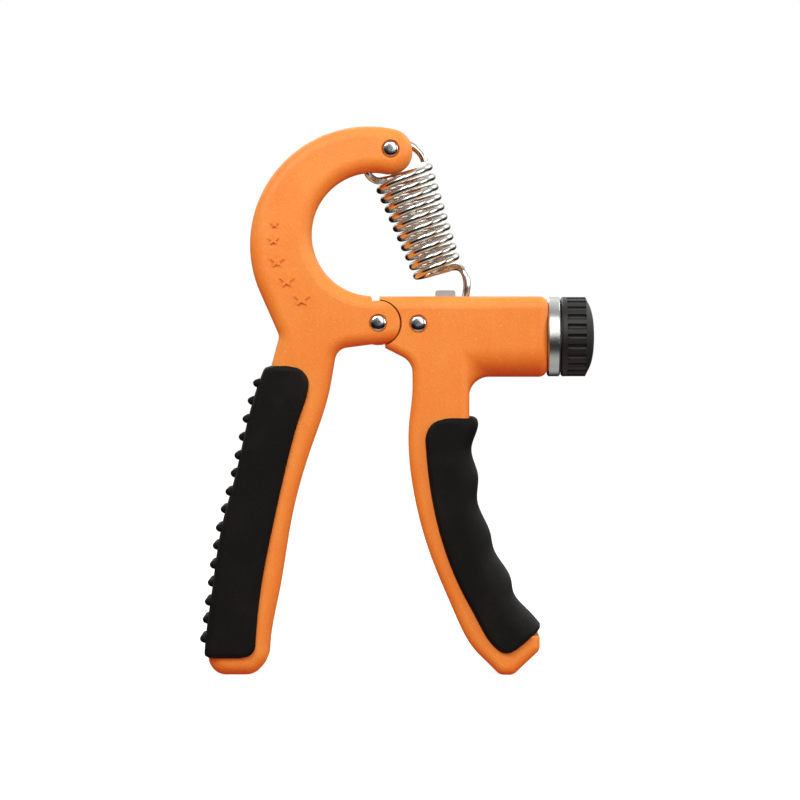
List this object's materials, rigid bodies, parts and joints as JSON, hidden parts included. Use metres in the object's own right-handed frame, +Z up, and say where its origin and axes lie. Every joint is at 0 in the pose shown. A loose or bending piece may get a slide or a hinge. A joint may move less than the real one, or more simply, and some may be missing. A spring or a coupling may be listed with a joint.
{
  "type": "hand grip strengthener",
  "caption": "Adjustable hand grip strengthener: two hinged handles with soft grips, a tension spring on a curved arm and a load knob on a threaded barrel.",
  "frame": {"origin": "centre of the object's box in plan, on the surface the two handle tips stand on", "axes": "+Z up from the handle tips to the curved arm, +X from the fixed handle towards the load knob, -Y out of the front face"},
  "size_m": [0.1074, 0.024, 0.1511],
  "materials": {
    "orange_body": "fine moulded texture",
    "black_grip": "matt soft-touch rubber",
    "black_knob": "satin",
    "rivet_steel": "bright nickel plate",
    "spring_steel": "nickel-plated spring wire",
    "collar_steel": "turned and brushed",
    "zinc_plate": "zinc plated",
    "white_nylon": "natural nylon"
  },
  "bodies": {
    "fixed_handle": {"fixed_handle": "orange_body", "fixed_grip": "black_grip", "pivot_rivet": "rivet_steel", "pivot_rivet_cap": "rivet_steel", "spring_rivet": "rivet_steel", "spring_rivet_cap": "rivet_steel"},
    "movable_handle": {"movable_handle": "orange_body", "movable_grip": "black_grip", "hinge_bushing": "zinc_plate", "hinge_washers": "white_nylon", "anchor_rivet": "rivet_steel", "anchor_rivet_cap": "rivet_steel", "screw_frame": "zinc_plate", "end_collar": "collar_steel"},
    "knob": {"knob": "black_knob", "adjusting_screw": "zinc_plate", "retaining_clip": "zinc_plate", "thrust_washer": "white_nylon"},
    "slider_nut": {"slider_nut": "zinc_plate", "hook_pin": "zinc_plate"},
    "spring_top": {"spring_loop": "spring_steel"},
    "spring_middle": {"spring_coils": "spring_steel"},
    "spring_tail": {"spring_hook": "spring_steel"}
  },
  "joints": [
    {"name": "handle_hinge", "type": "hinge", "parent": "fixed_handle", "child": "movable_handle", "pos_m": [-0.006, 0, 0.0969], "axis": [0, 1, 0], "range_deg": [0, 31], "stiffness_Nm_per_rad": 9, "springref_deg": -5.73},
    {"name": "nut_slide", "type": "slide", "parent": "movable_handle", "child": "slider_nut", "axis": [1, 0, 0], "range_m": [-0.0013, 0.0125]},
    {"name": "knob_spin", "type": "hinge", "parent": "movable_handle", "child": "knob", "pos_m": [0.0445, 0, 0.0931], "axis": [1, 0, 0], "range_deg": [-2254.5, 234.47]},
    {"name": "spring_swing", "type": "hinge", "parent": "fixed_handle", "child": "spring_top", "pos_m": [-0.0026, 0, 0.1448], "axis": [0, 1, 0], "range_deg": [-11.35, 1.18], "deforming": ["spring_loop"]},
    {"name": "spring_stretch", "type": "slide", "parent": "spring_top", "child": "spring_middle", "axis": [-0.1544, 0, -0.988], "range_m": [0, 0.01394], "deforming": ["spring_coils"]},
    {"name": "spring_reach", "type": "slide", "parent": "spring_middle", "child": "spring_tail", "axis": [0.4472, 0, -0.8944], "range_m": [-0.0007, 0.00671], "deforming": ["spring_hook"]}
  ],
  "couplings": [
    {"joint": "knob_spin", "follows": "nut_slide", "rad_per_m": -3141.6},
    {"joint": "spring_swing", "follows": "nut_slide", "rad_per_m": -15.822},
    {"joint": "spring_stretch", "follows": "handle_hinge", "m_per_rad": 0.025707},
    {"joint": "spring_reach", "follows": "nut_slide", "ratio": 0.53595}
  ]
}
